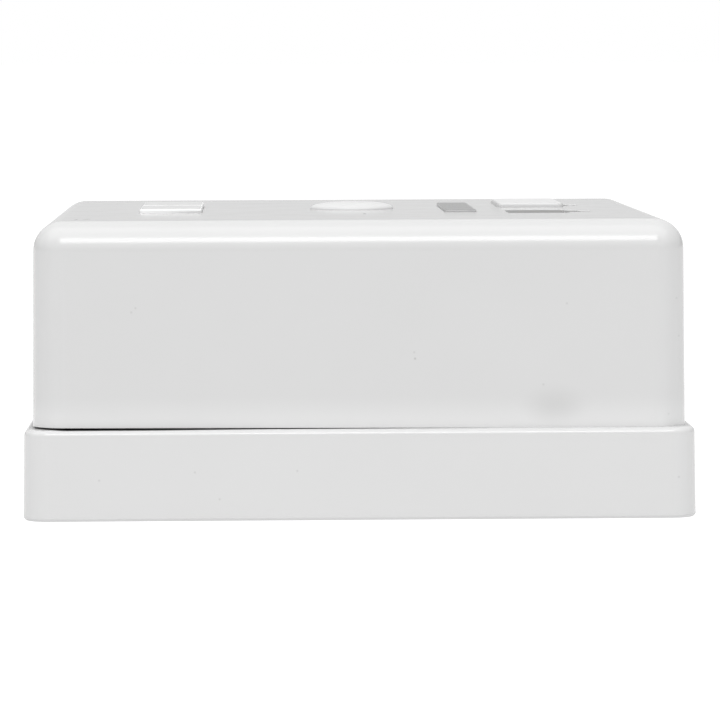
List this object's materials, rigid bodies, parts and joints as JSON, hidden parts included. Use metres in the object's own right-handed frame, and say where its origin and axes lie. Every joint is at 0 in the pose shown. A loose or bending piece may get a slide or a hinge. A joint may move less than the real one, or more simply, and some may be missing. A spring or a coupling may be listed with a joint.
{
  "type": "ethernet wall socket",
  "caption": "Square white surface-mounted data wall socket: a shallow base under a rounded hood, modular sockets in its face, label windows, a screw cap and a pull-out dust plug.",
  "frame": {"origin": "centre of the flat wall face of the base, the face that goes against the wall", "axes": "+Z out of the wall towards the face with the sockets, +X towards the edge with the sockets, which points down on a wall, +Y along the row of sockets"},
  "size_m": [0.08, 0.08, 0.0364],
  "materials": {
    "shell": "glossy moulded white",
    "plug": "glossy moulded white",
    "window": "clear polished",
    "card": "plain white card",
    "strip": "dark grey satin",
    "board": "green solder mask",
    "jack_body": "black moulded",
    "contact_gold": "gold-plated spring",
    "block": "natural moulded",
    "fork_metal": "tin-plated",
    "screw_steel": "zinc-plated",
    "insert_brass": "turned brass"
  },
  "bodies": {
    "socket_box": {"base_tray": "shell", "cover_hood": "shell", "circuit_board": "board", "jack_housing_near": "jack_body", "jack_housing_far": "jack_body", "jack_contacts_near": "contact_gold", "jack_contacts_far": "contact_gold", "idc_block_near": "block", "idc_block_far": "block", "idc_contacts_near": "fork_metal", "idc_contacts_far": "fork_metal", "board_screws": "screw_steel", "cable_clamp": "shell", "clamp_screws": "screw_steel", "thread_insert": "insert_brass", "cover_screw": "screw_steel", "screw_cap": "shell", "label_window_near": "window", "label_window_far": "window", "label_card_near": "card", "label_card_far": "card", "id_strip": "strip"},
    "dust_plug": {"dust_plug": "plug"}
  },
  "joints": [
    {"name": "dust_plug_slide", "type": "slide", "parent": "socket_box", "child": "dust_plug", "axis": [0, 0, 1], "range_m": [0, 0.012]}
  ]
}
